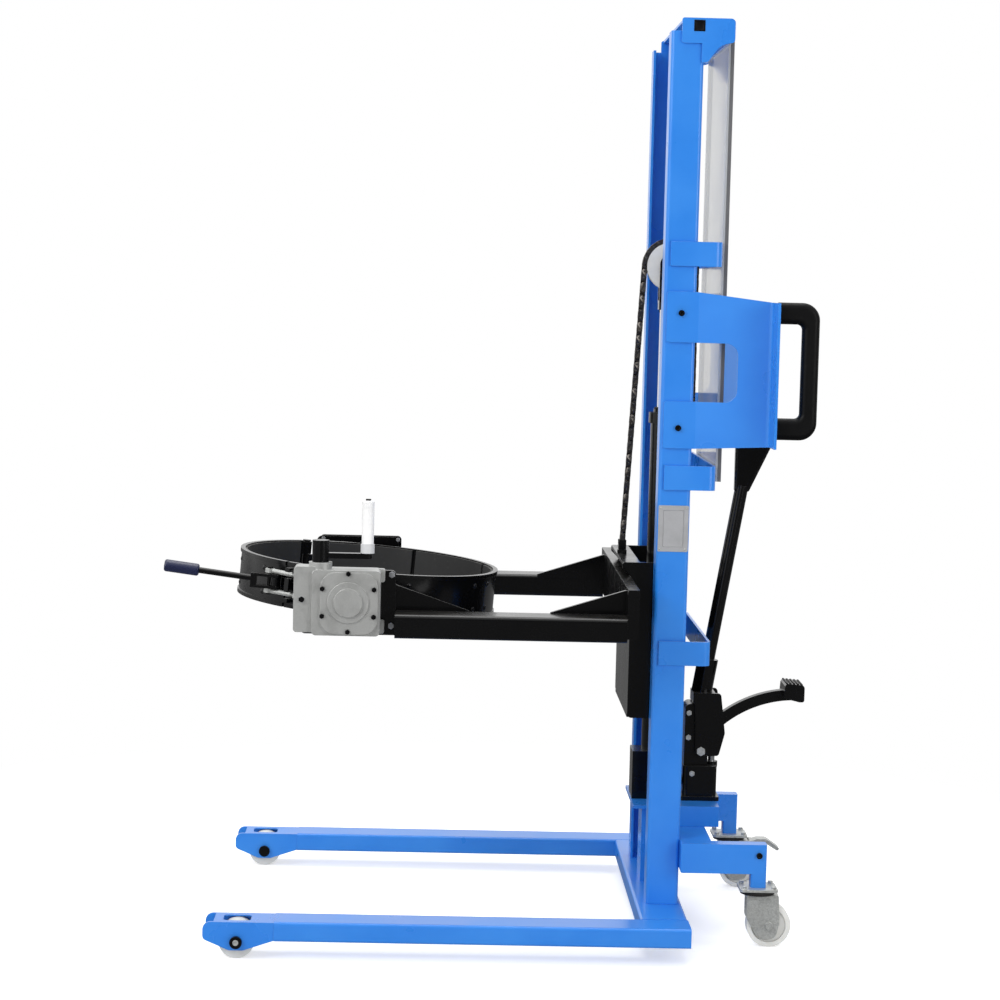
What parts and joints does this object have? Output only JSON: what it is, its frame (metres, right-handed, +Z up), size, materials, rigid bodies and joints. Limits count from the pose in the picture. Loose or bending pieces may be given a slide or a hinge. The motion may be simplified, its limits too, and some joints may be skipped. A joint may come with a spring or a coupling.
{
  "type": "drum tipper",
  "caption": "Hand-pushed drum tipper: straddle legs, channel mast with chain lift, foot and hand pump, and a geared clamp ring that lifts a drum and turns it over.",
  "frame": {"origin": "on the floor under the middle of the machine's box", "axes": "+X from the drum end to the operator's end, +Y across to the side without the crank, +Z up"},
  "size_m": [1.5206, 1.002, 2.13],
  "materials": {
    "blue_paint": "gloss powder coat",
    "black_paint": "satin black paint",
    "cast_aluminium": "bead-blasted casting",
    "zinc_steel": "zinc plate",
    "chrome_rod": "ground and hard chromed",
    "white_nylon": "turned nylon",
    "navy_plastic": "moulded grip",
    "black_plastic": "moulded grip",
    "grey_panel": "clear sheet",
    "plate_grey": "bare plate",
    "pad_rubber": "moulded rubber"
  },
  "bodies": {
    "base": {"leg_left": "blue_paint", "leg_right": "blue_paint", "load_axles": "black_paint", "cross_beam": "blue_paint", "upright_left": "blue_paint", "upright_right": "blue_paint", "mast_cap": "blue_paint", "mast_braces": "blue_paint", "guard_panel": "grey_panel", "blank_plate": "plate_grey", "handle_brackets": "blue_paint", "grab_handles": "black_plastic", "frame_bolts": "zinc_steel", "caster_frame": "blue_paint", "pump_deck": "blue_paint", "caster_plates": "zinc_steel", "cylinder_foot": "black_paint", "cylinder_barrel": "black_paint", "chain_back": "black_paint", "pump_body": "black_paint", "pump_bolts": "zinc_steel", "feed_pipe": "zinc_steel"},
    "ram": {"piston_rod": "chrome_rod", "sheave_yoke": "black_paint", "chain_wrap": "black_paint", "chain_front": "black_paint"},
    "sheave": {"chain_sheave": "white_nylon"},
    "carriage": {"carriage": "black_paint", "chain_anchor": "zinc_steel", "arm_left": "black_paint", "arm_right": "black_paint", "gearbox": "cast_aluminium", "gearbox_cover": "cast_aluminium", "gearbox_bolts": "zinc_steel", "far_bearing": "cast_aluminium"},
    "rollers_low": {"guide_rollers_low": "zinc_steel"},
    "rollers_top": {"guide_rollers_top": "zinc_steel"},
    "crank": {"worm_shaft": "zinc_steel", "crank_arm": "black_paint"},
    "crank_handle": {"crank_grip": "white_nylon"},
    "clamp": {"trunnion_shafts": "zinc_steel", "ring_back": "black_paint", "ring_pads_back": "pad_rubber"},
    "clamp_door": {"ring_door": "black_paint", "ring_pads_door": "pad_rubber"},
    "latch": {"latch_lever": "black_paint", "latch_grip": "navy_plastic"},
    "latch_bolts": {"draw_bolts": "zinc_steel"},
    "load_roller_l": {"load_roller_left": "white_nylon"},
    "load_roller_r": {"load_roller_right": "white_nylon"},
    "caster_l": {"caster_fork_left": "zinc_steel"},
    "caster_r": {"caster_fork_right": "zinc_steel"},
    "wheel_l": {"caster_wheel_left": "white_nylon"},
    "wheel_r": {"caster_wheel_right": "white_nylon"},
    "brake": {"brake_pedal": "zinc_steel"},
    "rocker": {"pump_rocker": "black_paint", "hand_lever": "black_paint", "foot_pedal": "black_paint"},
    "plunger": {"pump_plunger": "chrome_rod"},
    "valve": {"release_valve": "zinc_steel"}
  },
  "joints": [
    {"name": "lift", "type": "slide", "parent": "base", "child": "ram", "axis": [0, 0, 1], "range_m": [-0.2, 0.44], "deforming": ["chain_back"]},
    {"name": "carriage_slide", "type": "slide", "parent": "ram", "child": "carriage", "axis": [0, 0, 1], "range_m": [-0.2, 0.44], "deforming": ["chain_front"]},
    {"name": "sheave_spin", "type": "hinge", "parent": "ram", "child": "sheave", "pos_m": [0.4115, 0, 1.571], "axis": [0, 1, 0], "continuous": true},
    {"name": "guide_low_spin", "type": "hinge", "parent": "carriage", "child": "rollers_low", "pos_m": [0.4115, 0, 0.575], "axis": [0, 1, 0], "continuous": true},
    {"name": "guide_top_spin", "type": "hinge", "parent": "carriage", "child": "rollers_top", "pos_m": [0.4115, 0, 0.845], "axis": [0, 1, 0], "continuous": true},
    {"name": "crank_turn", "type": "hinge", "parent": "carriage", "child": "crank", "pos_m": [-0.39, -0.434, 0.9], "axis": [0, 0, 1], "continuous": true},
    {"name": "clamp_tilt", "type": "hinge", "parent": "carriage", "child": "clamp", "pos_m": [-0.326, 0, 0.806], "axis": [0, 1, 0], "continuous": true},
    {"name": "crank_grip_spin", "type": "hinge", "parent": "crank", "child": "crank_handle", "pos_m": [-0.286, -0.434, 0.97], "axis": [0, 0, 1], "continuous": true},
    {"name": "latch_turn", "type": "hinge", "parent": "clamp_door", "child": "latch", "pos_m": [-0.50052, -0.25541, 0.82371], "axis": [0.0725, 0, 0.9974], "range_deg": [0, 90]},
    {"name": "door_open", "type": "hinge", "parent": "clamp", "child": "clamp_door", "pos_m": [-0.46124, 0.26502, 0.81584], "axis": [-0.0725, 0, -0.9974], "range_deg": [0, 1.6]},
    {"name": "bolt_swing", "type": "hinge", "parent": "latch", "child": "latch_bolts", "pos_m": [-0.51651, -0.24346, 0.82487], "axis": [0.0725, 0, 0.9974], "range_deg": [-90, 0]},
    {"name": "load_roller_l_spin", "type": "hinge", "parent": "base", "child": "load_roller_l", "pos_m": [-0.561, -0.45, 0.04], "axis": [0, 1, 0], "continuous": true},
    {"name": "load_roller_r_spin", "type": "hinge", "parent": "base", "child": "load_roller_r", "pos_m": [-0.561, 0.45, 0.04], "axis": [0, 1, 0], "continuous": true},
    {"name": "caster_l_swivel", "type": "hinge", "parent": "base", "child": "caster_l", "pos_m": [0.631, -0.287, 0.12], "axis": [0, 0, 1], "continuous": true},
    {"name": "caster_r_swivel", "type": "hinge", "parent": "base", "child": "caster_r", "pos_m": [0.631, 0.287, 0.12], "axis": [0, 0, 1], "continuous": true},
    {"name": "wheel_l_spin", "type": "hinge", "parent": "caster_l", "child": "wheel_l", "pos_m": [0.658, -0.287, 0.051], "axis": [0, 1, 0], "continuous": true},
    {"name": "wheel_r_spin", "type": "hinge", "parent": "caster_r", "child": "wheel_r", "pos_m": [0.658, 0.287, 0.051], "axis": [0, 1, 0], "continuous": true},
    {"name": "brake_press", "type": "hinge", "parent": "caster_r", "child": "brake", "pos_m": [0.688, 0.287, 0.116], "axis": [0, 1, 0], "range_deg": [0, 14]},
    {"name": "pump_stroke", "type": "hinge", "parent": "base", "child": "rocker", "pos_m": [0.516, 0, 0.409], "axis": [0, 1, 0], "range_deg": [0, 25], "stiffness_Nm_per_rad": 30, "springref_deg": -34.38},
    {"name": "plunger_push", "type": "slide", "parent": "base", "child": "plunger", "axis": [0, 0, -1], "range_m": [0, 0.0137]},
    {"name": "valve_turn", "type": "hinge", "parent": "base", "child": "valve", "pos_m": [0.499, 0.06, 0.33], "axis": [0, 1, 0], "range_deg": [0, 90]}
  ],
  "couplings": [
    {"joint": "carriage_slide", "follows": "lift", "ratio": 1},
    {"joint": "sheave_spin", "follows": "lift", "rad_per_m": 16.172},
    {"joint": "guide_low_spin", "follows": "lift", "rad_per_m": 64.103},
    {"joint": "guide_top_spin", "follows": "lift", "rad_per_m": -64.103},
    {"joint": "clamp_tilt", "follows": "crank_turn", "ratio": 0.025},
    {"joint": "door_open", "follows": "latch_turn", "ratio": 0.0175},
    {"joint": "bolt_swing", "follows": "latch_turn", "ratio": -1},
    {"joint": "plunger_push", "follows": "pump_stroke", "m_per_rad": 0.0312}
  ]
}
